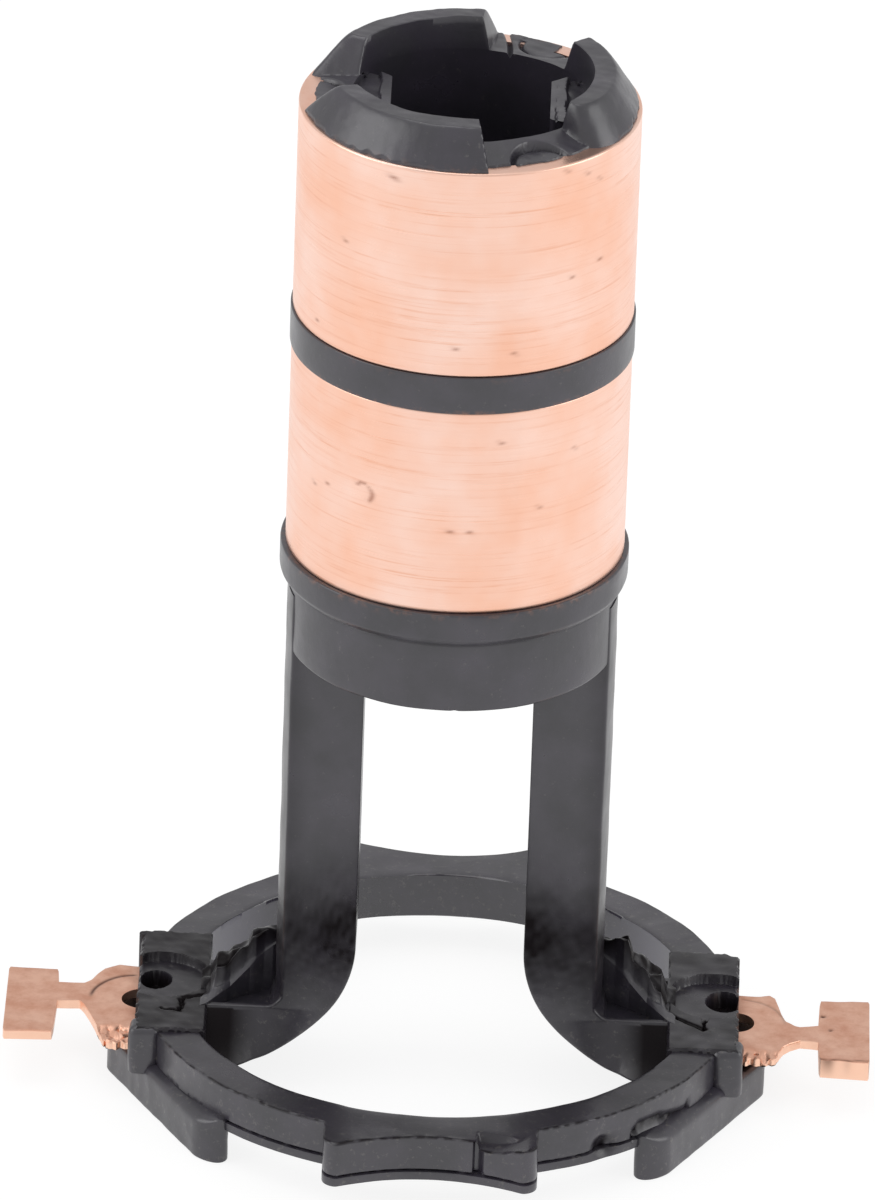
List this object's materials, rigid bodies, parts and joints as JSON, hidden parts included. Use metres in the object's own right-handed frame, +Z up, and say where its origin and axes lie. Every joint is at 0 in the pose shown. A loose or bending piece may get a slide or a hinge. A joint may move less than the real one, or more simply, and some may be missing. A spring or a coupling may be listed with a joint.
{
  "type": "alternator slip ring",
  "caption": "Alternator slip ring: copper brush tracks on a black moulded barrel with a castellated top, two legs, a scalloped base ring with feet and stamped copper terminals.",
  "frame": {"origin": "on the shaft axis, at the level of the feet's undersides", "axes": "+Z up the shaft axis from the base ring to the castellated end, +X towards the terminal of the upper track"},
  "size_m": [0.0402, 0.0302, 0.051],
  "materials": {
    "moulding": "matte black thermosetting moulding compound",
    "track_copper": "turned bare copper",
    "lead_copper": "stamped bare copper strip"
  },
  "bodies": {
    "root": {"moulded_carrier": "moulding", "outer_slip_ring": "track_copper", "inner_slip_ring": "track_copper", "outer_ring_lead": "lead_copper", "inner_ring_lead": "lead_copper"}
  },
  "joints": []
}
